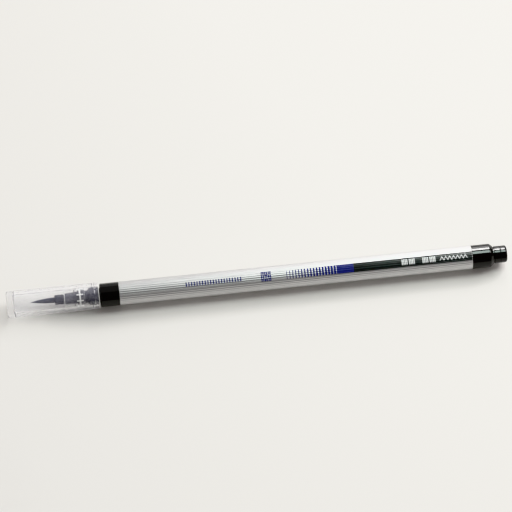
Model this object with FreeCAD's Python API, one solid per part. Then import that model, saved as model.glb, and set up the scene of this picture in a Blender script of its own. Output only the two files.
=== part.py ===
import FreeCAD
import Part

import math
import os

# A capped, fibre-fed brush pen lying on its side. The pen's axis runs along X, 4.45 mm above
# the surface that it lies on: the clear cap and the brush point to -X, the tail knob to +X.
# Stations along the pen are millimetres from the closed end of the cap, and every turned
# outline is a list of (station, radius) corners, with a third number where a corner is round.

# Overall
PEN_LENGTH = 166.3
CAP_END_R = 4.45
BARREL_R = 3.9
BARREL_BORE_R = 3.3
RUNNING = 0.025  # radial clearance of parts that slide in each other

# Stations
BRUSH_POINT = 7.6
FERRULE_FRONT = 15.8
FERRULE_SHOULDER = 18.75  # where the ferrule steps down to its spigot
SLEEVE_FRONT = 18.9
BRISTLE_FLANGE_FRONT = 19.0
NOSE_FRONT = 19.1
BRISTLE_REAR = 19.6
SEAL_FLANGE = 22.35
FERRULE_REAR = 23.0
HOLDER_FRONT = 23.35
NECK_FRONT = 23.4
SLEEVE_BEAD = 24.2
SLEEVE_REAR = 25.75
CAP_SEAT_FRONT = 27.4
SNAP = 28.7  # bead that holds the cap
CAP_SEAT_REAR = 30.25
CAP_MOUTH = 30.55
COLLAR_FRONT = 30.8
COLLAR_STEP = 34.4  # face of the section's flange inside the collar
BARREL_FRONT = 37.1
HOLDER_REAR = 45.5
SECTION_REAR = 46.0
RESERVOIR_FRONT = 47.5
RELAY_TAPER = 57.0
RELAY_REAR = 58.6
RESERVOIR_REAR = 136.0
TAIL_SPIGOT_FRONT = 146.5
BARREL_REAR = 154.5
BAND_STRAIGHT_REAR = 160.1
KNOB_FRONT = 161.6
KNOB_GROOVE = 164.1

# Cap
CAP_BORE_R = 3.05
CAP_CHAMBER_R = 2.95
CAP_END_WALL = 2.1
CAP_MOUTH_R = 4.33
SLEEVE_BORE_R = 2.7
SLEEVE_OUTER_R = 2.92
SLEEVE_RIBS = 8
RIB_LENGTH = 2.0
RIB_WIDTH = 0.35
FIRST_RIB_DEG = 12.5

# Brush head
BRISTLE_R = 0.93
BRISTLE_FLANGE_R = 1.14
FERRULE_R = 1.625
FERRULE_BORE_R = 0.96
FERRULE_SPIGOT_R = 1.35
RELAY_R = 0.8
SLIP = 0.02  # radial clearance between pieces assembled by hand

# Front section
NOSE_R = 1.8
NECK_R = 2.1
GRIP_R = 2.93
SNAP_R = 2.99
SEAL_FLANGE_WIDTH = 0.35
SECTION_FLANGE_R = 3.42
PLUG_R = BARREL_BORE_R - 0.03  # of the spigots at both ends of the barrel
PLUG_RIBS = (40.0, 43.5, 149.5)
SECTION_CUP_R = 2.6
HOLDER_R = 1.5
BAFFLE_R = 2.42
BAFFLES = (33.5, 36.5, 39.5)
BAFFLE_WIDTH = 0.5

# Ink reservoir
RESERVOIR_R = 2.75
FILM_THICKNESS = 0.08
BREATHER_R = 0.4
BREATHER_BORE_R = 0.22
BREATHER_OFFSET = 2.1

# Barrel flutes
FLUTES = 36
FLUTE_DEPTH = 0.055
LAND_SHARE = 0.3  # of each flute's pitch

# Tail
BAND_SHOULDER_R = 3.1
STEM_R = 2.38
STEM_BORE_R = 1.7
PRONG_LENGTH = 4.0
PRONG_WIDTH = 0.6
KNOB_R = 2.85
KNOB_NECK_R = 2.65

AXIS = FreeCAD.Vector(1, 0, 0)
ORIGIN = FreeCAD.Vector(0, 0, 0)


def rounded_outline(corners):
    """A closed wire through the corners, with an arc tangent to both sides at each round one."""
    points = [FreeCAD.Vector(corner[0], 0, corner[1]) for corner in corners]
    rounds = [corner[2] if len(corner) > 2 else 0 for corner in corners]
    edges = []
    last_end = None
    first_start = None
    for i, (here, radius) in enumerate(zip(points, rounds)):
        before = points[i - 1] - here
        after = points[(i + 1) % len(points)] - here
        start = end = here
        if radius:
            half_angle = before.getAngle(after) / 2
            reach = radius / math.tan(half_angle)
            before.normalize()
            after.normalize()
            inward = before + after
            inward.normalize()
            start = here + before * reach
            end = here + after * reach
            middle = here + inward * (radius / math.sin(half_angle) - radius)
        if last_end is None:
            first_start = start
        else:
            edges.append(Part.LineSegment(last_end, start).toShape())
        if radius:
            edges.append(Part.Arc(start, middle, end).toShape())
        last_end = end
    edges.append(Part.LineSegment(last_end, first_start).toShape())
    return Part.Wire(edges)


def turned(corners):
    """A solid of revolution about the pen's axis."""
    return Part.Face(rounded_outline(corners)).revolve(ORIGIN, AXIS, 360)


def tube(front, rear, outer_r, bore_r):
    return turned([(front, bore_r), (rear, bore_r), (rear, outer_r), (front, outer_r)])


def rod(front, rear, radius):
    return turned([(front, 0), (rear, 0), (rear, radius), (front, radius)])


def plug_rib(station):
    """Corners of a low rib that grips the barrel's bore."""
    return [
        (station - 0.4, PLUG_R),
        (station - 0.2, BARREL_BORE_R),
        (station + 0.2, BARREL_BORE_R),
        (station + 0.4, PLUG_R),
    ]


def around(shape, count, first_deg=0.0):
    """Copies of a shape spaced evenly about the pen's axis."""
    copies = []
    for i in range(count):
        copy = shape.copy()
        copy.rotate(ORIGIN, AXIS, first_deg + i * 360 / count)
        copies.append(copy)
    return copies


def make_cap_shell():
    """Thick clear cap: closed end, brush chamber, seat for the sealing sleeve, snap groove."""
    groove_r = CAP_BORE_R + 0.07
    return turned([
        (0, 0),
        (0, CAP_END_R, 0.7),
        (CAP_MOUTH, CAP_MOUTH_R, 0.2),
        (CAP_MOUTH, CAP_BORE_R + 0.15),
        (CAP_MOUTH - 0.2, CAP_BORE_R),
        (SNAP + 0.45, CAP_BORE_R),
        (SNAP + 0.3, groove_r),
        (SNAP - 0.3, groove_r),
        (SNAP - 0.45, CAP_BORE_R),
        (SLEEVE_FRONT, CAP_BORE_R),
        (SLEEVE_FRONT, CAP_CHAMBER_R),
        (CAP_END_WALL, CAP_CHAMBER_R, 0.8),
        (CAP_END_WALL, 0),
    ])


def make_cap_seal_sleeve():
    """Soft inner sleeve that seals on the nose flange, held by a bead and short ribs."""
    body = turned([
        (SLEEVE_FRONT, SLEEVE_BORE_R + 0.1),
        (SLEEVE_FRONT + 0.3, SLEEVE_BORE_R),
        (SLEEVE_BEAD, SLEEVE_BORE_R),
        (SLEEVE_REAR, SLEEVE_BORE_R + 0.12),
        (SLEEVE_REAR, SLEEVE_OUTER_R),
        (SLEEVE_BEAD + 0.4, SLEEVE_OUTER_R),
        (SLEEVE_BEAD + 0.25, CAP_BORE_R),
        (SLEEVE_BEAD - 0.25, CAP_BORE_R),
        (SLEEVE_BEAD - 0.4, SLEEVE_OUTER_R),
        (SLEEVE_FRONT, SLEEVE_OUTER_R),
    ])
    rib = Part.makeBox(
        RIB_LENGTH, RIB_WIDTH, 0.5,
        FreeCAD.Vector(SLEEVE_BEAD - RIB_LENGTH / 2, -RIB_WIDTH / 2, SLEEVE_OUTER_R - 0.1),
    )
    rib = rib.common(rod(SLEEVE_FRONT, SLEEVE_REAR, CAP_BORE_R))
    return body.fuse(around(rib, SLEEVE_RIBS, FIRST_RIB_DEG)).removeSplitter()


def make_brush_tuft():
    """Free part of the bristle bundle: a slender ogive with a ball-shaped rear in the ferrule."""
    length = FERRULE_FRONT - BRUSH_POINT
    point_r = 0.03
    belly = [(0.2, 0.26), (0.4, 0.55), (0.58, 0.77), (0.78, 0.91)]  # shares of length and radius
    ball_r = BRISTLE_R - 0.02
    ball_end = FreeCAD.Vector(FERRULE_FRONT + ball_r, 0, 0)
    base = FreeCAD.Vector(FERRULE_FRONT, 0, ball_r)
    side = Part.BSplineCurve()
    side.interpolate(
        [FreeCAD.Vector(BRUSH_POINT, 0, point_r)]
        + [FreeCAD.Vector(BRUSH_POINT + a * length, 0, b * BRISTLE_R) for a, b in belly]
        + [base]
    )
    diagonal = ball_r * math.sqrt(0.5)
    ball_middle = FreeCAD.Vector(FERRULE_FRONT + diagonal, 0, diagonal)
    tip = FreeCAD.Vector(BRUSH_POINT, 0, 0)
    edges = [
        Part.LineSegment(tip, FreeCAD.Vector(BRUSH_POINT, 0, point_r)).toShape(),
        side.toShape(),
        Part.Arc(base, ball_middle, ball_end).toShape(),
        Part.LineSegment(ball_end, tip).toShape(),
    ]
    return Part.Face(Part.Wire(edges)).revolve(ORIGIN, AXIS, 360)


def make_brush_root():
    """Held part of the bristle bundle, fused into a flange at its rear."""
    front = FERRULE_FRONT + BRISTLE_R + 0.1
    return turned([
        (front, 0),
        (front, BRISTLE_R),
        (BRISTLE_FLANGE_FRONT, BRISTLE_R),
        (BRISTLE_FLANGE_FRONT, BRISTLE_FLANGE_R),
        (BRISTLE_REAR, BRISTLE_FLANGE_R, 0.1),
        (BRISTLE_REAR, 0),
    ])


def make_brush_retainer():
    """Bush behind the bristle flange that the relay core passes through."""
    return tube(BRISTLE_REAR + 0.05, FERRULE_REAR - 0.2, BRISTLE_FLANGE_R, RELAY_R + SLIP)


def make_brush_ferrule():
    """Black holder of the bristles: a rounded mouth, and a spigot in the section's nose."""
    return turned([
        (FERRULE_FRONT + 0.12, FERRULE_BORE_R),
        (BRISTLE_FLANGE_FRONT - 0.05, FERRULE_BORE_R),
        (BRISTLE_FLANGE_FRONT - 0.05, BRISTLE_FLANGE_R + SLIP),
        (FERRULE_REAR, BRISTLE_FLANGE_R + SLIP),
        (FERRULE_REAR, FERRULE_SPIGOT_R),
        (FERRULE_SHOULDER, FERRULE_SPIGOT_R),
        (FERRULE_SHOULDER, FERRULE_R, 0.06),
        (FERRULE_FRONT, FERRULE_R - 0.03, 0.4),
        (FERRULE_FRONT, FERRULE_BORE_R + 0.12),
    ])


def make_front_section():
    """Black mouthpiece: nose, seal flange, neck, cap seat with snap bead, and barrel plug."""
    flange_front = SEAL_FLANGE - SEAL_FLANGE_WIDTH / 2
    flange_rear = SEAL_FLANGE + SEAL_FLANGE_WIDTH / 2
    flange_r = SLEEVE_BORE_R - RUNNING
    groove_r = NECK_R + 0.5
    groove_rear = COLLAR_FRONT + 0.1
    bore_step = HOLDER_FRONT - 0.05
    return turned([
        (NOSE_FRONT, NOSE_R, 0.08),
        (flange_front, NOSE_R + 0.14),
        (flange_front, flange_r, 0.06),
        (flange_rear, flange_r, 0.06),
        (flange_rear, NOSE_R + 0.16),
        (NECK_FRONT - 0.1, NOSE_R + 0.2),
        (NECK_FRONT, NECK_R),
        (CAP_SEAT_FRONT - 0.8, NECK_R),
        (CAP_SEAT_FRONT, GRIP_R, 0.35),
        (SNAP - 0.35, GRIP_R),
        (SNAP - 0.2, SNAP_R),
        (SNAP + 0.2, SNAP_R),
        (SNAP + 0.35, GRIP_R),
        (CAP_SEAT_REAR, GRIP_R, 0.25),
        (CAP_SEAT_REAR, groove_r),
        (groove_rear, groove_r),
        (groove_rear, GRIP_R),
        (COLLAR_STEP, GRIP_R),
        (COLLAR_STEP, SECTION_FLANGE_R),
        (BARREL_FRONT, SECTION_FLANGE_R),
        (BARREL_FRONT, PLUG_R),
        *plug_rib(PLUG_RIBS[0]),
        *plug_rib(PLUG_RIBS[1]),
        (SECTION_REAR, PLUG_R - 0.2, 0.3),
        (SECTION_REAR, SECTION_CUP_R),
        (groove_rear + 1.1, SECTION_CUP_R - 0.1),
        (groove_rear + 0.1, HOLDER_R + SLIP),
        (bore_step, HOLDER_R + SLIP),
        (bore_step, FERRULE_SPIGOT_R + SLIP),
        (NOSE_FRONT, FERRULE_SPIGOT_R + SLIP),
    ])


def make_relay_core_holder():
    """Sleeve that carries the relay core through the section, with baffles and a rear flange."""
    flange_r = SECTION_CUP_R - 0.04
    outside = [(HOLDER_FRONT, HOLDER_R, 0.1)]
    for baffle in BAFFLES:
        outside += [
            (baffle, HOLDER_R),
            (baffle, BAFFLE_R),
            (baffle + BAFFLE_WIDTH, BAFFLE_R),
            (baffle + BAFFLE_WIDTH, HOLDER_R),
        ]
    return turned(outside + [
        (HOLDER_REAR - 1, HOLDER_R),
        (HOLDER_REAR - 1, flange_r),
        (HOLDER_REAR, flange_r),
        (HOLDER_REAR, RELAY_R + SLIP),
        (HOLDER_FRONT, RELAY_R + SLIP),
    ])


def make_relay_core():
    """Fibre rod that feeds ink from the reservoir to the bristle root."""
    front = BRISTLE_REAR + 0.05
    return turned([
        (front, 0),
        (front, RELAY_R - 0.15),
        (front + 0.35, RELAY_R),
        (RELAY_TAPER, RELAY_R),
        (RELAY_REAR, 0.15),
        (RELAY_REAR, 0),
    ])


def make_collar_ring():
    """Gloss black ring between the cap and the barrel, trapped by the section's flange."""
    return turned([
        (COLLAR_FRONT, GRIP_R + SLIP),
        (COLLAR_STEP - 0.05, GRIP_R + SLIP),
        (COLLAR_STEP - 0.05, SECTION_FLANGE_R + SLIP),
        (BARREL_FRONT, SECTION_FLANGE_R + SLIP),
        (BARREL_FRONT, BARREL_R),
        (COLLAR_FRONT, BARREL_R, 0.5),
    ])


def make_barrel_tube():
    """Silver barrel with fine flutes along its whole length between narrow lands."""
    pitch = 2 * math.pi / FLUTES
    half_land = pitch * LAND_SHARE / 2

    def on_rim(angle, radius):
        y = radius * math.sin(angle)
        z = radius * math.cos(angle)
        return FreeCAD.Vector(BARREL_FRONT, y, z)

    edges = []
    for i in range(FLUTES):
        land = i * pitch
        land_start = on_rim(land - half_land, BARREL_R)
        land_end = on_rim(land + half_land, BARREL_R)
        flute_floor = on_rim(land + pitch / 2, BARREL_R - FLUTE_DEPTH)
        next_land = on_rim(land + pitch - half_land, BARREL_R)
        edges.append(Part.Arc(land_start, on_rim(land, BARREL_R), land_end).toShape())
        edges.append(Part.Arc(land_end, flute_floor, next_land).toShape())
    outline = Part.Wire(edges)
    solid = Part.Face(outline).extrude(AXIS * (BARREL_REAR - BARREL_FRONT))
    return solid.cut(rod(BARREL_FRONT - 1, BARREL_REAR + 1, BARREL_BORE_R))


def relay_hole():
    return turned([
        (RESERVOIR_FRONT - 1, 0),
        (RESERVOIR_FRONT - 1, RELAY_R + SLIP),
        (RELAY_TAPER + 0.2, RELAY_R + SLIP),
        (RELAY_REAR + 0.2, 0.17),
        (RELAY_REAR + 0.2, 0),
    ])


def breather_line(radius, front, rear):
    line = rod(front, rear, radius)
    line.translate(FreeCAD.Vector(0, 0, BREATHER_OFFSET))
    return line


def make_ink_reservoir_core():
    """Bonded fibre rod that holds the ink, with a hole for the relay core and the breather."""
    core = rod(RESERVOIR_FRONT, RESERVOIR_REAR, RESERVOIR_R)
    breather_hole = breather_line(BREATHER_R + SLIP, RESERVOIR_FRONT - 1, RESERVOIR_REAR + 1)
    return core.cut(relay_hole()).cut(breather_hole)


def make_reservoir_film():
    """Thin film wrapped round the reservoir core."""
    return tube(RESERVOIR_FRONT, RESERVOIR_REAR, RESERVOIR_R + FILM_THICKNESS, RESERVOIR_R)


def make_breather_tube():
    """Fine tube along the reservoir that lets air past the ink."""
    front = RESERVOIR_FRONT - 0.8
    wall = breather_line(BREATHER_R, front, RESERVOIR_REAR)
    return wall.cut(breather_line(BREATHER_BORE_R, front - 1, RESERVOIR_REAR + 1))


def make_tail_band():
    """Gloss black band at the rear, with a spigot in the barrel and a bore for the end plug."""
    return turned([
        (TAIL_SPIGOT_FRONT, PLUG_R - 0.2, 0.3),
        *plug_rib(PLUG_RIBS[2]),
        (BARREL_REAR, PLUG_R),
        (BARREL_REAR, BARREL_R),
        (BAND_STRAIGHT_REAR, BARREL_R, 0.8),
        (KNOB_FRONT, BAND_SHOULDER_R, 0.2),
        (KNOB_FRONT, STEM_R + SLIP),
        (TAIL_SPIGOT_FRONT, STEM_R + SLIP),
    ])


def make_end_plug():
    """Tail knob that a cap posts on, and a stem whose prongs hold the reservoir forward."""
    stem_front = RESERVOIR_REAR + PRONG_LENGTH
    knob_seat = KNOB_FRONT + SLIP
    plug = turned([
        (stem_front, STEM_BORE_R),
        (KNOB_FRONT - 2, STEM_BORE_R),
        (KNOB_FRONT - 1, 0),
        (PEN_LENGTH, 0),
        (PEN_LENGTH, KNOB_R, 0.7),
        (KNOB_GROOVE + 0.12, KNOB_R),
        (KNOB_GROOVE, KNOB_R - 0.12),
        (KNOB_GROOVE - 0.12, KNOB_R),
        (KNOB_FRONT + 0.5, KNOB_R),
        (KNOB_FRONT + 0.4, KNOB_NECK_R),
        (knob_seat, KNOB_NECK_R),
        (knob_seat, STEM_R),
        (stem_front, STEM_R),
    ])
    prong = Part.makeBox(
        PRONG_LENGTH + 1, PRONG_WIDTH, STEM_R,
        FreeCAD.Vector(RESERVOIR_REAR + SLIP, -PRONG_WIDTH / 2, 0),
    )
    prong = prong.common(tube(RESERVOIR_REAR, stem_front + 2, STEM_R, STEM_BORE_R))
    return plug.fuse(around(prong, 4, 45)).removeSplitter()


NODES = {
    "cap_shell": make_cap_shell,
    "cap_seal_sleeve": make_cap_seal_sleeve,
    "brush_tuft": make_brush_tuft,
    "brush_root": make_brush_root,
    "brush_retainer": make_brush_retainer,
    "brush_ferrule": make_brush_ferrule,
    "front_section": make_front_section,
    "relay_core_holder": make_relay_core_holder,
    "relay_core": make_relay_core,
    "collar_ring": make_collar_ring,
    "barrel_tube": make_barrel_tube,
    "ink_reservoir_core": make_ink_reservoir_core,
    "reservoir_film": make_reservoir_film,
    "breather_tube": make_breather_tube,
    "tail_band": make_tail_band,
    "end_plug": make_end_plug,
}


def main():
    os.makedirs("parts", exist_ok=True)
    to_frame = FreeCAD.Vector(-PEN_LENGTH / 2, 0, CAP_END_R)
    for name, make in NODES.items():
        shape = make()
        shape.translate(to_frame)
        shape.exportStep(f"parts/{name}.step")
        box = shape.BoundBox
        print(
            f"{name:20s} solids {len(shape.Solids)} valid {shape.isValid()} "
            f"volume {shape.Volume:9.3f}  x {box.XMin:7.2f} {box.XMax:7.2f}  r {box.ZLength / 2:5.3f}"
        )


main()
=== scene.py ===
import math
import random

import bpy
import numpy as np
from mathutils import Matrix, Vector


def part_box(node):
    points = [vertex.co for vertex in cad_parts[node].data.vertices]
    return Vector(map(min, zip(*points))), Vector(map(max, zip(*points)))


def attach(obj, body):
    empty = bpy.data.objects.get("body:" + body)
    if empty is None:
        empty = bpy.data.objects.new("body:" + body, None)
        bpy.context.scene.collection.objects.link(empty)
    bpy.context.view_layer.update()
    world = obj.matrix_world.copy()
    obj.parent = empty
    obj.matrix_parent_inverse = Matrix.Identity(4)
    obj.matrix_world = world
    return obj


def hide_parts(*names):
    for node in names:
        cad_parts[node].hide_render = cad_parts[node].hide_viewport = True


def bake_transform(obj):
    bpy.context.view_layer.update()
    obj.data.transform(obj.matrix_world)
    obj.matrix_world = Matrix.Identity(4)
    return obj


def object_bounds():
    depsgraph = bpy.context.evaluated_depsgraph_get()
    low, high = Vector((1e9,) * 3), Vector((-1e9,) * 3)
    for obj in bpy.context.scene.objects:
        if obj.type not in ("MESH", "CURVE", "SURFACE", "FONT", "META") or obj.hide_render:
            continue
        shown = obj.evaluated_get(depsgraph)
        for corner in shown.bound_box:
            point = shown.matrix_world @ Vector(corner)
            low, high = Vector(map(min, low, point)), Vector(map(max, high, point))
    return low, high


# Looks of a capped brush pen that lies along X, cap and brush towards -X, tail knob towards +X.
# Outlines are (station, radius) corners in millimetres, with a third number where a corner has
# its own round. Stations are counted along the pen from the closed end of its cap. Angles round
# the pen are in degrees from straight up, growing towards the side that the camera looks at.

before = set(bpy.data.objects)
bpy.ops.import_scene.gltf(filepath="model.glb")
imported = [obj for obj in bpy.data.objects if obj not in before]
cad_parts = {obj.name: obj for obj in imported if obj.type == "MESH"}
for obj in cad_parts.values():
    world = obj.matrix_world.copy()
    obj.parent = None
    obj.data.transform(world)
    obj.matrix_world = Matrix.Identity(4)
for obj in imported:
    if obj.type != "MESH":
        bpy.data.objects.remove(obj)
cad_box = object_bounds()

MM = 0.001
CAP_LOW, CAP_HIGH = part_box("cap_shell")
AXIS_Z = (CAP_LOW.z + CAP_HIGH.z) / 2
PEN_MIDDLE = Vector(((cad_box[0].x + cad_box[1].x) / 2, 0, AXIS_Z))


def reach(node):
    """(front station, rear station, radius) of a CAD node, in millimetres."""
    low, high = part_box(node)
    front = (low.x - CAP_LOW.x) / MM
    rear = (high.x - CAP_LOW.x) / MM
    return front, rear, (high.z - low.z) / 2 / MM


_, CAP_MOUTH, CAP_R = reach("cap_shell")
SLEEVE_FRONT, SLEEVE_REAR, CAP_BORE_R = reach("cap_seal_sleeve")
BRUSH_POINT, _, BRISTLE_R = reach("brush_tuft")
FERRULE_FRONT, FERRULE_REAR, FERRULE_R = reach("brush_ferrule")
NOSE_FRONT, SECTION_REAR, SECTION_FLANGE_R = reach("front_section")
COLLAR_FRONT, BARREL_FRONT, BARREL_R = reach("collar_ring")
_, BARREL_REAR, _ = reach("barrel_tube")
TAIL_SPIGOT_FRONT, BAND_REAR, _ = reach("tail_band")
PLUG_FRONT, PEN_LENGTH, KNOB_R = reach("end_plug")

SNAP = 28.7  # station of the bead on the section, and of the groove in the cap that it sits in
BARREL_BORE_R = 3.3
PLUG_R = BARREL_BORE_R - 0.03
FLUTES = 36
FLUTE_DEPTH = 0.07
LAND_SHARE = 0.3  # of each flute's pitch

CAMERA_ELEVATION = 60.0
CAMERA_YAW = 6.76
CAMERA_DISTANCE = 1.03
CAMERA_LENS = 219.1
PEN_BELOW_CENTRE = 7.64  # both in mm in the picture plane
PEN_RIGHT_OF_CENTRE = 0.6

VIEW_DEG = 90 - CAMERA_ELEVATION  # angle round the pen that faces the camera


# ---------------------------------------------------------------- mesh building


def mesh_piece(name, points, faces, body, material, replaced=(), smooth_deg=35):
    """A mesh object from points in the row frame in millimetres, riding on a CAD body."""
    mesh = bpy.data.meshes.new(name)
    mesh.from_pydata([(x * MM, y * MM, z * MM) for x, y, z in points], [], faces)
    mesh.shade_smooth()
    mesh.set_sharp_from_angle(angle=math.radians(smooth_deg))
    piece = bpy.data.objects.new(name, mesh)
    bpy.context.scene.collection.objects.link(piece)
    mesh.materials.append(material)
    if body:
        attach(piece, body)
    if replaced:
        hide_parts(*replaced)
    return piece


def trim(piece, material, stations):
    """Gives the faces whose middle lies in one of the station ranges a second material."""
    piece.data.materials.append(material)
    for face in piece.data.polygons:
        station = (face.center.x - CAP_LOW.x) / MM
        if any(low < station < high for low, high in stations):
            face.material_index = len(piece.data.materials) - 1


def on_pen(station, radius, angle):
    """A point in the row frame, in millimetres, from its station, radius and angle in radians."""
    x = CAP_LOW.x / MM + station
    return (x, -radius * math.sin(angle), AXIS_Z / MM + radius * math.cos(angle))


def rounded(corners, edge=0.03, step_deg=12):
    """The corners as a closed chain of points, each convex or hollow corner turned into an arc."""
    points = [Vector(corner[:2]) for corner in corners]
    chain = []
    for i, here in enumerate(points):
        before = points[i - 1] - here
        after = points[(i + 1) % len(points)] - here
        radius = corners[i][2] if len(corners[i]) > 2 else edge
        angle = before.angle(after)
        reach_limit = 0.45 * min(before.length, after.length)
        reach_along = min(radius / math.tan(angle / 2), reach_limit) if angle > 1e-3 else 0
        if here.y < 1e-6 or reach_along < 1e-4:
            chain.append(here)
            continue
        radius = reach_along * math.tan(angle / 2)
        before.normalize()
        after.normalize()
        start = here + before * reach_along
        end = here + after * reach_along
        centre = here + (before + after).normalized() * (radius / math.sin(angle / 2))
        turn = math.pi - angle
        steps = max(1, math.ceil(math.degrees(turn) / step_deg))
        arm = start - centre
        way = 1 if arm.angle_signed(end - centre) > 0 else -1
        for k in range(steps + 1):
            swing = way * turn * k / steps
            chain.append(centre + Matrix.Rotation(-swing, 2) @ arm)
    return chain


def braced(chain, inset=0.04):
    """The chain with a point just inside both ends of each long run, so that the smooth shading
    of the rounds doesn't spread along the run."""
    out = []
    for i, here in enumerate(chain):
        here = Vector(here)
        run = Vector(chain[(i + 1) % len(chain)]) - here
        out.append(here)
        if run.length > 6 * inset:
            step = run.normalized() * inset
            out += [here + step, here + run - step]
    return out


def lathe(chain, segments=128):
    """(points, faces) of a solid of revolution from a closed chain of (station, radius)."""
    chain = braced(chain)
    points = []
    rings = []
    for station, radius in chain:
        first = len(points)
        if radius < 1e-6:
            points.append(on_pen(station, 0, 0))
            rings.append([first] * segments)
            continue
        for k in range(segments):
            points.append(on_pen(station, radius, 2 * math.pi * k / segments))
        rings.append(list(range(first, first + segments)))
    faces = []
    for i, ring in enumerate(rings):
        other = rings[(i + 1) % len(rings)]
        if ring[0] == ring[1] and other[0] == other[1]:
            continue
        for k in range(segments):
            n = (k + 1) % segments
            corners = [ring[k], ring[n], other[n], other[k]]
            faces.append([c for j, c in enumerate(corners) if c != corners[j - 1]])
    return points, faces


def outward(points, faces):
    """The faces, all turned over if the closed mesh they make is inside out."""
    co = np.array(points)
    volume = 0.0
    for face in faces:
        a = co[face[0]]
        for j in range(1, len(face) - 1):
            volume += np.dot(a, np.cross(co[face[j]], co[face[j + 1]]))
    return faces if volume > 0 else [face[::-1] for face in faces]


def add_blocks(points, faces, count, first_deg, half_width, stations, radii):
    """Adds closed six-sided blocks, spaced evenly round the pen, to a mesh. Each lies between two
    stations and two radii, and half_width is in radians to both sides of its middle."""
    sides = [[0, 1, 3, 2], [4, 6, 7, 5], [0, 2, 6, 4], [1, 5, 7, 3], [0, 4, 5, 1], [2, 3, 7, 6]]
    for i in range(count):
        middle = math.radians(first_deg + i * 360 / count)
        first = len(points)
        for station in stations:
            for angle in (-half_width, half_width):
                for radius in radii:
                    points.append(on_pen(station, radius, middle + angle))
        block = outward(points[first:], sides)
        faces += [[first + corner for corner in face] for face in block]


def turned_piece(name, corners, body, material, replaced, edge=0.03, segments=128):
    """A mesh object turned about the pen's axis from (station, radius) corners."""
    points, faces = lathe(rounded(corners, edge), segments)
    return mesh_piece(name, points, outward(points, faces), body, material, replaced)


# ---------------------------------------------------------------- materials

PLASTIC_IOR = 1.49


def node_material(name):
    """(material, its node tree, its Principled shader)"""
    material = bpy.data.materials.new(name)
    material.use_nodes = True
    return material, material.node_tree, material.node_tree.nodes["Principled BSDF"]


def pen_noise(tree, scale, detail=3.0, stretch=(1, 1, 1)):
    """A noise socket that stays on the pen, with a scale per metre along each axis."""
    place = tree.nodes.new("ShaderNodeTexCoord")
    mapping = tree.nodes.new("ShaderNodeMapping")
    mapping.inputs["Scale"].default_value = stretch
    noise = tree.nodes.new("ShaderNodeTexNoise")
    noise.inputs["Scale"].default_value = scale
    noise.inputs["Detail"].default_value = detail
    tree.links.new(place.outputs["Object"], mapping.inputs["Vector"])
    tree.links.new(mapping.outputs["Vector"], noise.inputs["Vector"])
    return noise.outputs["Fac"]


def spread(tree, value, low, high):
    """The noise value mapped to run from low to high."""
    node = tree.nodes.new("ShaderNodeMapRange")
    node.inputs["From Min"].default_value = 0.3
    node.inputs["From Max"].default_value = 0.7
    node.inputs["To Min"].default_value = low
    node.inputs["To Max"].default_value = high
    tree.links.new(value, node.inputs["Value"])
    return node.outputs["Result"]


def tones(tree, value, dark, light):
    """A colour that runs from dark to light with the noise value."""
    ramp = tree.nodes.new("ShaderNodeValToRGB")
    ramp.color_ramp.elements[0].position = 0.3
    ramp.color_ramp.elements[1].position = 0.7
    ramp.color_ramp.elements[0].color = (*dark, 1)
    ramp.color_ramp.elements[1].color = (*light, 1)
    tree.links.new(value, ramp.inputs["Fac"])
    return ramp.outputs["Color"]


def bumped(tree, shader, value, strength, height):
    """Gives the shader a bump from the noise value, with its height in metres."""
    bump = tree.nodes.new("ShaderNodeBump")
    bump.inputs["Strength"].default_value = strength
    bump.inputs["Distance"].default_value = height
    tree.links.new(value, bump.inputs["Height"])
    tree.links.new(bump.outputs["Normal"], shader.inputs["Normal"])


def plastic(name, dark, light, rough):
    """Moulded plastic: slight tone and gloss changes, and a very fine moulding grain."""
    material, tree, shader = node_material(name)
    shader.inputs["IOR"].default_value = PLASTIC_IOR
    tree.links.new(tones(tree, pen_noise(tree, 260), dark, light), shader.inputs["Base Color"])
    tree.links.new(spread(tree, pen_noise(tree, 420), *rough), shader.inputs["Roughness"])
    bumped(tree, shader, pen_noise(tree, 900, 2), 0.15, 0.004 * MM)
    return material


def clear_plastic(name, tint, haze_tint, haze, rough, ior=PLASTIC_IOR, lamp_share=0.93):
    """Clear moulded plastic with a little milkiness mixed in. haze and rough are ranges, and
    lamp_share is how much of the lamps' light passes each surface."""
    material, tree, glass = node_material(name)
    glass.inputs["Base Color"].default_value = (*tint, 1)
    glass.inputs["Transmission Weight"].default_value = 1.0
    glass.inputs["IOR"].default_value = ior
    tree.links.new(spread(tree, pen_noise(tree, 300), *rough), glass.inputs["Roughness"])
    bumped(tree, glass, pen_noise(tree, 350, 2), 0.1, 0.004 * MM)
    milk = tree.nodes.new("ShaderNodeBsdfPrincipled")
    milk.inputs["Roughness"].default_value = 0.5
    tree.links.new(
        tones(tree, pen_noise(tree, 500), [0.94 * c for c in haze_tint], haze_tint),
        milk.inputs["Base Color"],
    )
    mix = tree.nodes.new("ShaderNodeMixShader")
    tree.links.new(spread(tree, pen_noise(tree, 220), *haze), mix.inputs["Fac"])
    tree.links.new(glass.outputs["BSDF"], mix.inputs[1])
    tree.links.new(milk.outputs["BSDF"], mix.inputs[2])
    lamps_through(tree, mix.outputs["Shader"], lamp_share)
    return material


def lamps_through(tree, surface, share):
    """Lets the light of the lamps through the surface without bending it."""
    path = tree.nodes.new("ShaderNodeLightPath")
    clear = tree.nodes.new("ShaderNodeBsdfTransparent")
    clear.inputs["Color"].default_value = (share, share, share, 1)
    for ray in ("Is Diffuse Ray", "Is Shadow Ray"):
        mix = tree.nodes.new("ShaderNodeMixShader")
        tree.links.new(path.outputs[ray], mix.inputs["Fac"])
        tree.links.new(surface, mix.inputs[1])
        tree.links.new(clear.outputs["BSDF"], mix.inputs[2])
        surface = mix.outputs["Shader"]
    tree.links.new(surface, tree.nodes["Material Output"].inputs["Surface"])


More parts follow.
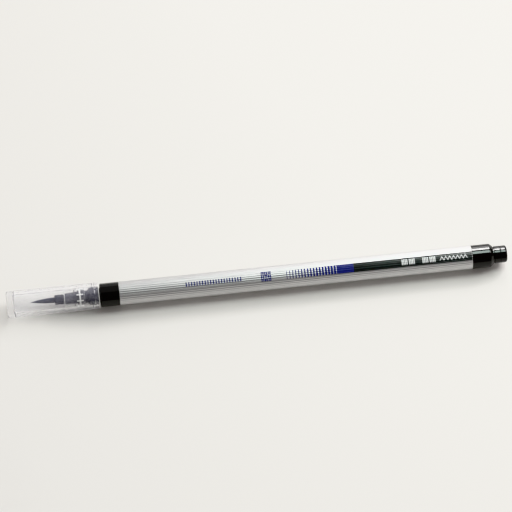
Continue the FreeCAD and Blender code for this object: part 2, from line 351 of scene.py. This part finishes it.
def silver_metal():
    """Satin silver with faint drawing streaks along the barrel."""
    material, tree, shader = node_material("silver_barrel")
    shader.inputs["Metallic"].default_value = 1.0
    streaks = pen_noise(tree, 2600, 2, (0.02, 1, 1))
    tree.links.new(
        tones(tree, streaks, (0.58, 0.58, 0.585), (0.66, 0.66, 0.66)), shader.inputs["Base Color"]
    )
    tree.links.new(
        spread(tree, pen_noise(tree, 700, 3, (0.1, 1, 1)), 0.34, 0.42), shader.inputs["Roughness"]
    )
    bumped(tree, shader, streaks, 0.12, 0.003 * MM)
    return material


def ink_print(name, dark, light):
    """Printing ink: a flat film with slightly uneven cover."""
    material, tree, shader = node_material(name)
    tree.links.new(tones(tree, pen_noise(tree, 1800), dark, light), shader.inputs["Base Color"])
    tree.links.new(spread(tree, pen_noise(tree, 900), 0.14, 0.22), shader.inputs["Roughness"])
    bumped(tree, shader, pen_noise(tree, 2500, 2), 0.1, 0.003 * MM)
    return material


def fibre(name, dark, light, across):
    """Bonded or combed fibre that runs along the pen."""
    material, tree, shader = node_material(name)
    strands = pen_noise(tree, across, 4, (0.04, 1, 1))
    tree.links.new(tones(tree, strands, dark, light), shader.inputs["Base Color"])
    shader.inputs["Roughness"].default_value = 0.55
    shader.inputs["Sheen Weight"].default_value = 0.15
    bumped(tree, shader, strands, 0.5, 0.03 * MM)
    return material


def paper_floor():
    """Pale matt paper with faint unevenness."""
    material, tree, shader = node_material("floor")
    tree.links.new(
        tones(tree, pen_noise(tree, 3, 4), (0.725, 0.71, 0.687), (0.745, 0.73, 0.707)),
        shader.inputs["Base Color"],
    )
    shader.inputs["Roughness"].default_value = 0.7
    shader.inputs["Specular IOR Level"].default_value = 0.2
    bumped(tree, shader, pen_noise(tree, 900, 3), 0.15, 0.02 * MM)
    return material


CLEAR_TINT = (0.985, 0.985, 0.98)
MILKY_TINT = (0.97, 0.97, 0.97)
CAP_HAZE_TINT = (0.82, 0.82, 0.98)
CAP_HAZE = (0.03, 0.08)
INK_BLACK = ((0.003, 0.003, 0.003), (0.006, 0.006, 0.006))

BLACK = plastic("black_plastic", *INK_BLACK, (0.05, 0.11))
NOSE_BLACK = plastic("nose_plastic", (0.012, 0.012, 0.021), (0.02, 0.02, 0.034), (0.15, 0.25))
WHITE = plastic("white_plastic", (0.74, 0.74, 0.71), (0.8, 0.8, 0.78), (0.3, 0.42))
CLEAR = clear_plastic("clear_plastic", CLEAR_TINT, CAP_HAZE_TINT, CAP_HAZE, (0.02, 0.04))
CLEAR_END = clear_plastic(
    "clear_plastic_end", CLEAR_TINT, CAP_HAZE_TINT, CAP_HAZE, (0.02, 0.04), lamp_share=0.75
)
SEAL = clear_plastic("seal_plastic", CLEAR_TINT, (0.78, 0.78, 0.95), (0.005, 0.02), (0.01, 0.02))
# Painted glint: a near-white haze that stands for the bright ring and ticks on the seal's bead and
# ribs, with some real milkiness.
SEAL_MILKY_GLINT = clear_plastic(
    "seal_milky_glint", MILKY_TINT, (0.97, 0.97, 0.96), (0.75, 0.9), (0.1, 0.2)
)
# Painted glint at edges: milky lips that stand partly for the bright lines at the sleeve's ends
# and the cap's mouth, partly real milkiness.
SEAL_LIP_GLINT = clear_plastic("seal_lip_glint", MILKY_TINT, (0.95, 0.95, 0.92), (0.35, 0.5), (0.1, 0.2))
FILM = clear_plastic(
    "reservoir_film", (0.95, 0.95, 0.97), (0.9, 0.9, 0.92), (0.04, 0.08), (0.05, 0.1), ior=1.5
)
SILVER = silver_metal()
BRISTLES = fibre("bristles", (0.018, 0.018, 0.032), (0.06, 0.06, 0.094), 9000)
INK_FIBRE = fibre("ink_fibre", (0.006, 0.006, 0.01), (0.035, 0.035, 0.045), 5000)
PRINT_BLUE = ink_print("print_blue", (0.012, 0.014, 0.13), (0.017, 0.02, 0.16))
PRINT_BLACK = ink_print("print_black", *INK_BLACK)
PRINT_WHITE = ink_print("print_white", (0.62, 0.64, 0.64), (0.72, 0.74, 0.74))


# ---------------------------------------------------------------- cap


def make_cap():
    """Clear shell, milkier round its mouth, the milky rim partly a painted glint, with a closed
    end that casts more shadow.
    """
    groove_r = CAP_BORE_R + 0.12
    chamber_r = CAP_BORE_R - 0.1
    end_wall = 2.1
    shell = turned_piece("cap_clear_shell", [
        (0, 0),
        (0, CAP_R, 0.7),
        (CAP_MOUTH, CAP_R - 0.12, 0.2),
        (CAP_MOUTH, CAP_BORE_R + 0.15),
        (CAP_MOUTH - 0.2, CAP_BORE_R),
        (SNAP + 0.45, CAP_BORE_R),
        (SNAP + 0.3, groove_r),
        (SNAP - 0.3, groove_r),
        (SNAP - 0.45, CAP_BORE_R),
        (SLEEVE_FRONT, CAP_BORE_R),
        (SLEEVE_FRONT, chamber_r),
        (end_wall, chamber_r, 0.8),
        (end_wall, 0),
    ], "cap", CLEAR, ["cap_shell"], segments=160)
    # Milky mouth: partly real milkiness, partly a painted glint for the bright line at this edge.
    trim(shell, SEAL_LIP_GLINT, [(CAP_MOUTH - 0.25, CAP_MOUTH + 1)])
    trim(shell, CLEAR_END, [(-1, 0.9), (end_wall - 0.01, end_wall + 0.9)])


def make_cap_seal():
    """Sealing sleeve with its bead, and ten ribs that stand on it as closed blocks."""
    bore_r = CAP_BORE_R - 0.35
    outer_r = CAP_BORE_R - 0.13
    top_r = CAP_BORE_R - 0.015
    bead = 24.2
    points, faces = lathe(rounded([
        (SLEEVE_FRONT + 0.02, bore_r + 0.1),
        (SLEEVE_FRONT + 0.3, bore_r),
        (bead, bore_r),
        (SLEEVE_REAR, bore_r + 0.12),
        (SLEEVE_REAR, outer_r),
        (bead + 0.4, outer_r),
        (bead + 0.25, top_r),
        (bead - 0.25, top_r),
        (bead - 0.4, outer_r),
        (SLEEVE_FRONT + 0.02, outer_r),
    ]), 96)
    faces = outward(points, faces)
    ribs = 10
    half_length = 1.1
    add_blocks(
        points, faces, ribs, 13, math.radians(3.0),
        (bead - half_length, bead + half_length), (outer_r - 0.02, top_r - 0.002),
    )
    seal = mesh_piece("cap_seal", points, faces, "cap", SEAL, ["cap_seal_sleeve"])
    # Milky lips at both ends of the sleeve: partly real milkiness, partly a painted glint for the
    # bright lines at these edges.
    trim(seal, SEAL_LIP_GLINT, [(0, SLEEVE_FRONT + 0.28), (SLEEVE_REAR - 0.1, CAP_MOUTH)])
    # Painted glint on the bead and the middle of the ribs: a whitish haze for their bright ring
    # and ticks, partly real milkiness.
    trim(seal, SEAL_MILKY_GLINT, [(bead - 0.27, bead + 0.27)])


# ---------------------------------------------------------------- brush head

BRISTLE_LENGTH = FERRULE_FRONT - BRUSH_POINT
HELD_LENGTH = 0.75  # of each filament, inside the ferrule
FILAMENTS = 300
FILAMENT_RINGS = 18
FILAMENT_SIDES = 5
CORE_RINGS = 24


def bristle_radius(share):
    """Outline of the bristle point: share runs from 0 at the ferrule to 1 at the point."""
    return BRISTLE_R * (1 - share ** 2.0)


def filament_points(start_angle, spread_out, sway, end, thickness):
    """Points of one filament, ring by ring from inside the ferrule to its own end."""
    points = []
    held = HELD_LENGTH / BRISTLE_LENGTH
    for k in range(FILAMENT_RINGS):
        share = k / (FILAMENT_RINGS - 1)
        along = -held + (end + held) * share
        hull = bristle_radius(max(along, 0.0))
        radius = spread_out * max(hull - 0.035, 0.002)
        own = thickness * (1 - 0.85 * share ** 3)
        station = FERRULE_FRONT - along * BRISTLE_LENGTH
        x, y, z = on_pen(station, radius, start_angle + sway * share * share)
        for side in range(FILAMENT_SIDES):
            turn = 2 * math.pi * side / FILAMENT_SIDES
            points.append((x, y + own * math.cos(turn), z + own * math.sin(turn)))
    return points


def filament_faces(first):
    """Faces of the filament whose points begin at first, with both its ends closed."""
    sides = FILAMENT_SIDES
    faces = []
    for k in range(FILAMENT_RINGS - 1):
        low = first + k * sides
        for side in range(sides):
            n = (side + 1) % sides
            faces.append([low + n, low + side, low + sides + side, low + sides + n])
    faces.append([first + side for side in range(sides)])
    last = first + (FILAMENT_RINGS - 1) * sides
    faces.append([last + side for side in reversed(range(sides))])
    return faces


def bristle_core():
    """(points, faces) of the slim solid that the filaments lie on."""
    chain = []
    for k in range(CORE_RINGS):
        share = k / (CORE_RINGS - 1) * 0.985
        radius = max(bristle_radius(share) * 0.9, 0.004)
        chain.append((FERRULE_FRONT - share * BRISTLE_LENGTH, radius))
    rear = FERRULE_FRONT + HELD_LENGTH
    chain = [(rear, 0), (rear, chain[0][1]), *chain, (BRUSH_POINT + 0.12, 0)]
    points, faces = lathe(chain, 32)
    return points, outward(points, faces)


def make_bristles():
    """A few hundred tapering filaments laid over a slim core, drawn together at the point."""
    random.seed(7)
    golden = math.pi * (3 - math.sqrt(5))
    points = []
    faces = []
    for i in range(FILAMENTS):
        spread_out = 0.5 + 0.5 * math.sqrt((i + 0.5) / FILAMENTS)
        sway = random.uniform(-0.25, 0.25)
        end = 1 - 0.06 * random.random() ** 2 * spread_out
        thickness = random.uniform(0.04, 0.06)
        faces += filament_faces(len(points))
        points += filament_points(i * golden, spread_out, sway, end, thickness)
    core_points, core_faces = bristle_core()
    first = len(points)
    points += core_points
    faces += [[first + corner for corner in face] for face in core_faces]
    piece = mesh_piece(
        "bristles", points, faces, None, BRISTLES, ["brush_tuft"], smooth_deg=75
    )
    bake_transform(piece)


def make_ferrule():
    """Black holder of the bristles, with its spigot in the section's nose."""
    bore_r = BRISTLE_R + 0.05
    flange_r = 1.16
    flange_front = 18.95
    shoulder = 18.75
    spigot_r = 1.35
    turned_piece("ferrule", [
        (FERRULE_FRONT + 0.12, bore_r),
        (flange_front, bore_r),
        (flange_front, flange_r),
        (FERRULE_REAR, flange_r),
        (FERRULE_REAR, spigot_r),
        (shoulder, spigot_r),
        (shoulder, FERRULE_R, 0.06),
        (FERRULE_FRONT, FERRULE_R - 0.03, 0.4),
        (FERRULE_FRONT, bore_r + 0.12),
    ], "pen", NOSE_BLACK, ["brush_ferrule"], segments=96)


def plug_rib(station):
    """Corners of a low rib that grips the barrel's bore."""
    return [
        (station - 0.4, PLUG_R),
        (station - 0.2, BARREL_BORE_R),
        (station + 0.2, BARREL_BORE_R),
        (station + 0.4, PLUG_R),
    ]


def make_section():
    """Mouthpiece: nose, seal flange, stepped neck, cap seat with its bead, and barrel plug."""
    nose_r = 1.8
    neck_r = 2.1
    step_r = neck_r + 0.25
    grip_r = 2.93
    snap_r = 2.99
    cup_r = neck_r + 0.5
    flange = 22.35
    flange_r = CAP_BORE_R - 0.375
    bore_step = 23.3
    step_rear = 25.7
    seat_front = 27.4
    seat_rear = 30.25
    collar_step = 34.4
    groove_rear = COLLAR_FRONT + 0.1
    holder_r = 1.52
    spigot_r = 1.37
    turned_piece("mouthpiece", [
        (NOSE_FRONT, nose_r, 0.08),
        (flange - 0.2, nose_r + 0.14),
        (flange - 0.2, flange_r, 0.06),
        (flange + 0.2, flange_r, 0.06),
        (flange + 0.2, nose_r + 0.16),
        (bore_step, nose_r + 0.2),
        (bore_step + 0.1, step_r),
        (step_rear, step_r),
        (step_rear + 0.1, neck_r),
        (seat_front - 0.8, neck_r),
        (seat_front, grip_r, 0.35),
        (SNAP - 0.35, grip_r),
        (SNAP - 0.2, snap_r),
        (SNAP + 0.2, snap_r),
        (SNAP + 0.35, grip_r),
        (seat_rear, grip_r, 0.25),
        (seat_rear, cup_r),
        (groove_rear, cup_r),
        (groove_rear, grip_r),
        (collar_step, grip_r),
        (collar_step, SECTION_FLANGE_R),
        (BARREL_FRONT, SECTION_FLANGE_R),
        (BARREL_FRONT, PLUG_R),
        *plug_rib(40.0),
        *plug_rib(43.5),
        (SECTION_REAR, PLUG_R - 0.2, 0.3),
        (SECTION_REAR, cup_r),
        (groove_rear + 1.1, cup_r - 0.1),
        (groove_rear + 0.1, holder_r),
        (bore_step, holder_r),
        (bore_step, spigot_r),
        (NOSE_FRONT, spigot_r),
    ], "pen", NOSE_BLACK, ["front_section"])


def make_collar():
    """Gloss black ring between the cap and the barrel."""
    bore_r = 2.95
    step = 34.35
    turned_piece("collar", [
        (COLLAR_FRONT, bore_r),
        (step, bore_r),
        (step, SECTION_FLANGE_R + 0.02),
        (BARREL_FRONT, SECTION_FLANGE_R + 0.02),
        (BARREL_FRONT, BARREL_R, 0.05),
        (COLLAR_FRONT, BARREL_R, 0.5),
    ], "pen", BLACK, ["collar_ring"], segments=160)


# ---------------------------------------------------------------- barrel


def flute_radius(angle, inset=0.0):
    """Radius of the fluted wall at an angle in radians: flat lands with hollow flutes between."""
    pitch = 2 * math.pi / FLUTES
    from_land = (angle / pitch + 0.5) % 1 - 0.5
    half_flute = (1 - LAND_SHARE) / 2
    from_flute = 0.5 - abs(from_land)
    if from_flute >= half_flute:
        return BARREL_R - inset
    return BARREL_R - inset - FLUTE_DEPTH * (1 - (from_flute / half_flute) ** 2)


def make_barrel():
    """Silver tube with flutes along its whole length, a little smaller at both ends."""
    per_flute = 12
    segments = FLUTES * per_flute
    chamfer = 0.12
    stations = [BARREL_FRONT, BARREL_FRONT + chamfer]
    stations += list(np.linspace(BARREL_FRONT + 2 * chamfer, BARREL_REAR - 2 * chamfer, 12))
    stations += [BARREL_REAR - chamfer, BARREL_REAR]
    points = []
    for station in stations:
        at_end = station in (BARREL_FRONT, BARREL_REAR)
        for k in range(segments):
            angle = 2 * math.pi * k / segments
            points.append(on_pen(station, flute_radius(angle, 0.06 if at_end else 0), angle))
    for station in (BARREL_REAR, BARREL_FRONT):
        for k in range(segments):
            points.append(on_pen(station, BARREL_BORE_R, 2 * math.pi * k / segments))
    rings = len(stations) + 2
    faces = []
    for i in range(rings):
        low = i * segments
        high = (i + 1) % rings * segments
        for k in range(segments):
            n = (k + 1) % segments
            faces.append([low + k, low + n, high + n, high + k])
    mesh_piece(
        "barrel", points, outward(points, faces), "pen", SILVER, ["barrel_tube"],
        smooth_deg=40,
    )


# ---------------------------------------------------------------- printing on the barrel

STRIPE_MIDDLE_DEG = VIEW_DEG - 8.2  # angle round the pen of the line that all prints follow
STRIPE_WIDTH = 3.05
STRIPE_FRONT = 114.8
PRINT_LIFT = 0.008  # mm above the wall
TOP_PRINT_LIFT = 0.014  # of the white marks on the black stripe
PRINT_ROOT = -0.03  # how far the slabs reach into the wall
PRINT_CELL = 0.03  # mm round the wall, short enough to follow the flutes


class PrintLayer:
    """Closed slabs that follow the fluted wall, gathered into one piece of one ink."""

    def __init__(self, lift):
        self.lift = lift
        self.points = []
        self.faces = []

    def strip(self, stations, lows, highs):
        """A mark between two edges, each given as millimetres round the wall at each station."""
        widest = max(high - low for low, high in zip(lows, highs))
        cells = max(2, math.ceil(widest / PRINT_CELL))
        first = len(self.points)
        rows = len(stations)
        for level in (self.lift, PRINT_ROOT):
            for station, low, high in zip(stations, lows, highs):
                for j in range(cells + 1):
                    along = low + (high - low) * j / cells
                    angle = math.radians(STRIPE_MIDDLE_DEG) + along / BARREL_R
                    self.points.append(on_pen(station, flute_radius(angle) + level, angle))
        width = cells + 1
        under = rows * width
        faces = []
        for i in range(rows - 1):
            for j in range(cells):
                a = i * width + j
                face = [a, a + width, a + width + 1, a + 1]
                faces.append(face)
                faces.append([under + c for c in reversed(face)])
        rim = [i * width for i in range(rows)]
        rim += [(rows - 1) * width + j for j in range(1, width)]
        rim += [i * width + cells for i in reversed(range(rows - 1))]
        rim += list(reversed(range(1, cells)))
        for k, a in enumerate(rim):
            b = rim[(k + 1) % len(rim)]
            faces.append([b, a, under + a, under + b])
        faces = outward(self.points[first:], faces)
        self.faces += [[first + c for c in face] for face in faces]

    def bar(self, start, end, low, high):
        """A rectangle from one station to another."""
        self.strip([start, end], [low, low], [high, high])

    def zigzag(self, front, step, strokes, low, rise, height):
        """One line of even height that falls and climbs in turn along the stripe."""
        cuts = 10
        turns = [k / cuts for k in range(strokes * cuts + 1)]
        stations = [front + step * turn for turn in turns]
        lows = [low + rise * abs(1 - turn % 2) for turn in turns]
        self.strip(stations, lows, [edge + height for edge in lows])

    def finish(self, name, material):
        """Makes the piece out of all marks so far."""
        mesh_piece(name, self.points, self.faces, "pen", material, smooth_deg=40)


def print_ticks(layer):
    """A band of even ticks."""
    for i in range(21):
        start = 59.1 + i * 0.9
        layer.bar(start, start + 0.36, -0.85, 0.6)


def print_weave(layer):
    """A square of basket weave: pairs of bars that lie along and across the pen in turn."""
    front = 84.0
    low = -1.85
    cells = 3
    cell = 1.155
    bar_width = 0.42
    for i in range(cells):
        for j in range(cells):
            cell_front = front + i * cell
            cell_low = low + j * cell
            for side in (0.04, 0.6):
                if (i + j) % 2:
                    start = cell_front + side
                    layer.bar(start, start + bar_width, cell_low + 0.05, cell_low + cell - 0.05)
                else:
                    edge = cell_low + side
                    layer.bar(cell_front + 0.04, cell_front + cell - 0.06, edge, edge + bar_width)


def print_growing_bars(layer, half):
    """Bars that grow wider and taller until they run into a solid block."""
    bars = 17
    front = 92.5
    pitch = 0.98
    for i in range(bars):
        share = i / (bars - 1)
        start = front + i * pitch
        layer.bar(start, start + pitch * (0.22 + 0.6 * share), -half + 0.2 * (1 - share), half)
    layer.bar(front + bars * pitch, STRIPE_FRONT, -half, half)


def print_hatched_blocks(layer):
    """Four blocks of upright bars, in two pairs."""
    for front in (130.8, 133.2, 137.7, 140.1):
        for i in range(4):
            start = front + 0.05 + i * 0.52
            layer.bar(start, start + 0.36, -1.0, 0.85)


def make_prints():
    """Blue marks, the black stripe and the white marks on it, all generic patterns."""
    half = STRIPE_WIDTH / 2
    blue = PrintLayer(PRINT_LIFT)
    print_ticks(blue)
    print_weave(blue)
    print_growing_bars(blue, half)
    blue.finish("print_blue_marks", PRINT_BLUE)

    black = PrintLayer(PRINT_LIFT)
    black.bar(STRIPE_FRONT, BARREL_REAR - 0.12, -half, half)
    black.finish("print_black_stripe", PRINT_BLACK)

    white = PrintLayer(TOP_PRINT_LIFT)
    print_hatched_blocks(white)
    white.zigzag(front=143.6, step=0.65, strokes=14, low=-0.85, rise=1.05, height=0.55)
    white.finish("print_white_marks", PRINT_WHITE)


# ---------------------------------------------------------------- tail


def make_tail():
    """Gloss black tail band, and the end plug with its knob, stem and four prongs."""
    stem_r = 2.38
    shoulder_r = 3.1
    straight_rear = 160.6
    turned_piece("tail_collar", [
        (TAIL_SPIGOT_FRONT, PLUG_R - 0.2, 0.3),
        *plug_rib(149.5),
        (BARREL_REAR, PLUG_R),
        (BARREL_REAR, BARREL_R, 0.05),
        (straight_rear, BARREL_R, 0.6),
        (BAND_REAR, shoulder_r, 0.2),
        (BAND_REAR, stem_r + 0.02),
        (TAIL_SPIGOT_FRONT, stem_r + 0.02),
    ], "pen", BLACK, ["tail_band"], segments=160)
    stem_bore_r = 1.7
    neck_r = 2.65
    groove = 164.1
    stem_front = PLUG_FRONT + 4
    seat = BAND_REAR + 0.02
    points, faces = lathe(rounded([
        (stem_front, stem_bore_r),
        (BAND_REAR - 2, stem_bore_r),
        (BAND_REAR - 1, 0),
        (PEN_LENGTH, 0),
        (PEN_LENGTH, KNOB_R, 0.7),
        (groove + 0.12, KNOB_R),
        (groove, KNOB_R - 0.12),
        (groove - 0.12, KNOB_R),
        (BAND_REAR + 0.5, KNOB_R),
        (BAND_REAR + 0.4, neck_r),
        (seat, neck_r),
        (seat, stem_r),
        (stem_front, stem_r),
    ]), 144)
    faces = outward(points, faces)
    prongs = 4
    add_blocks(
        points, faces, prongs, 45, 0.15,
        (PLUG_FRONT, stem_front + 0.2), (stem_bore_r + 0.01, stem_r - 0.01),
    )
    mesh_piece("tail_knob", points, faces, "pen", BLACK, ["end_plug"])


def dress_inner_nodes():
    """Better materials for the CAD nodes that are kept as they are inside the pen."""
    finishes = {
        "brush_root": BRISTLES,
        "brush_retainer": WHITE,
        "relay_core_holder": WHITE,
        "relay_core": INK_FIBRE,
        "ink_reservoir_core": INK_FIBRE,
        "reservoir_film": FILM,
        "breather_tube": WHITE,
    }
    for node, material in finishes.items():
        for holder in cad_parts[node].material_slots:
            holder.material = material


# ---------------------------------------------------------------- stage, light and camera


def make_floor():
    """A plain floor that the pen lies on."""
    reach_out = 1.1  # metres to each side
    mesh = bpy.data.meshes.new("floor")
    corners = [(x * reach_out, y * reach_out, 0) for x, y in ((-1, -1), (1, -1), (1, 1), (-1, 1))]
    mesh.from_pydata(corners, [], [[0, 1, 2, 3]])
    mesh.materials.append(paper_floor())
    floor = bpy.data.objects.new("floor", mesh)
    bpy.context.scene.collection.objects.link(floor)


def softbox(name, elevations, reach_x, radiance, colour, distance=1.1, in_gloss=True):
    """A rectangular light parallel to the pen that faces it. Its edges across the pen are given
    as elevations in degrees from the side away from the camera, and its left and right edges,
    reach_x, in metres. radiance is how bright its face is."""
    low, high = elevations
    middle = math.radians((low + high) / 2)
    width = reach_x[1] - reach_x[0]
    height = 2 * distance * math.tan(math.radians(high - low) / 2)
    light = bpy.data.lights.new(name, "AREA")
    light.shape = "RECTANGLE"
    light.size = width
    light.size_y = height
    light.energy = 4 * radiance * width * height
    light.color = colour
    lamp = bpy.data.objects.new(name, light)
    lamp.visible_camera = False
    lamp.visible_glossy = in_gloss
    bpy.context.scene.collection.objects.link(lamp)
    away = Vector((0, math.cos(middle), math.sin(middle)))
    along = Vector((1, 0, 0))
    across = away.cross(along)
    turn = Matrix((along, across, away)).transposed()
    place = away * distance + along * (sum(reach_x) / 2)
    lamp.matrix_world = Matrix.LocRotScale(place, turn.to_quaternion(), None)


def make_world():
    """A dim room that lights the pen, shown to the camera as a pale backdrop."""
    world = bpy.data.worlds.new("studio")
    world.use_nodes = True
    tree = world.node_tree
    room = tree.nodes["Background"]
    room.inputs["Color"].default_value = (1.0, 0.96, 0.95, 1)
    room.inputs["Strength"].default_value = 0.22
    backdrop = tree.nodes.new("ShaderNodeBackground")
    backdrop.inputs["Color"].default_value = (1.0, 0.985, 0.965, 1)
    backdrop.inputs["Strength"].default_value = 0.82
    path = tree.nodes.new("ShaderNodeLightPath")
    mix = tree.nodes.new("ShaderNodeMixShader")
    tree.links.new(path.outputs["Is Camera Ray"], mix.inputs["Fac"])
    tree.links.new(room.outputs["Background"], mix.inputs[1])
    tree.links.new(backdrop.outputs["Background"], mix.inputs[2])
    tree.links.new(mix.outputs["Shader"], tree.nodes["World Output"].inputs["Surface"])
    bpy.context.scene.world = world


def make_lamps():
    """A narrow key and a near overhead lamp on the right for the gloss of the barrel, with large
    dim ones round them, and a corner lamp and a fill that show only in matt surfaces."""
    warm = (1.0, 0.98, 0.97)
    matt_only = (1.0, 0.98, 0.96)
    softbox("key", (38, 54), (0.128, 0.157), 27.0, (1.0, 0.985, 0.97), 0.5)
    softbox("key_glow", (12, 38), (0.1, 0.2), 3.2, warm, 0.5)
    softbox("lamp_edge", (68, 91), (0.07, 0.106), 3.4, (0.74, 1.0, 0.9), 0.5)
    softbox("lamp", (68, 91), (0.106, 0.165), 8.0, (0.84, 1.0, 0.94), 0.5)
    softbox("lamp_far", (66, 88), (0.9, 1.7), 9.0, warm)
    softbox("wall", (5, 37), (-1.3, 1.3), 0.68, warm, 1.2)
    softbox("ceiling_right", (42, 95), (0.35, 1.9), 1.1, warm, 1.2)
    softbox("ceiling_left", (42, 95), (-1.9, 0.35), 0.34, warm, 1.2)
    softbox("corner", (40, 62), (0.3, 0.7), 9.0, matt_only, 0.62, in_gloss=False)
    softbox("fill", (112, 150), (-0.9, 0.9), 0.32, matt_only, in_gloss=False)


def make_camera():
    """Camera with a long lens at the photograph's viewing angle, aimed near the pen's middle."""
    scene = bpy.context.scene
    camera_data = bpy.data.cameras.new("camera")
    camera_data.lens = CAMERA_LENS
    camera_data.sensor_width = 36.0
    camera_data.clip_start = 0.05
    camera = bpy.data.objects.new("camera", camera_data)
    scene.collection.objects.link(camera)
    elevation = math.radians(CAMERA_ELEVATION)
    yaw = math.radians(CAMERA_YAW)
    forward = Vector((
        math.sin(yaw) * math.cos(elevation),
        math.cos(yaw) * math.cos(elevation),
        -math.sin(elevation),
    ))
    right = Vector((math.cos(yaw), -math.sin(yaw), 0))
    up = right.cross(forward)
    aim = PEN_MIDDLE + up * (PEN_BELOW_CENTRE * MM) - right * (PEN_RIGHT_OF_CENTRE * MM)
    camera.location = aim - forward * CAMERA_DISTANCE
    camera.rotation_mode = "QUATERNION"
    camera.rotation_quaternion = forward.to_track_quat("-Z", "Y")
    scene.camera = camera


def set_look():
    """Colour transform, and enough bounces for light to pass all walls of the cap."""
    scene = bpy.context.scene
    scene.view_settings.view_transform = "Khronos PBR Neutral"
    scene.cycles.max_bounces = 24
    scene.cycles.transmission_bounces = 24


make_camera()
set_look()
make_world()
make_lamps()
make_floor()
make_cap()
make_cap_seal()
make_bristles()
make_ferrule()
make_section()
make_collar()
make_barrel()
make_prints()
make_tail()
dress_inner_nodes()
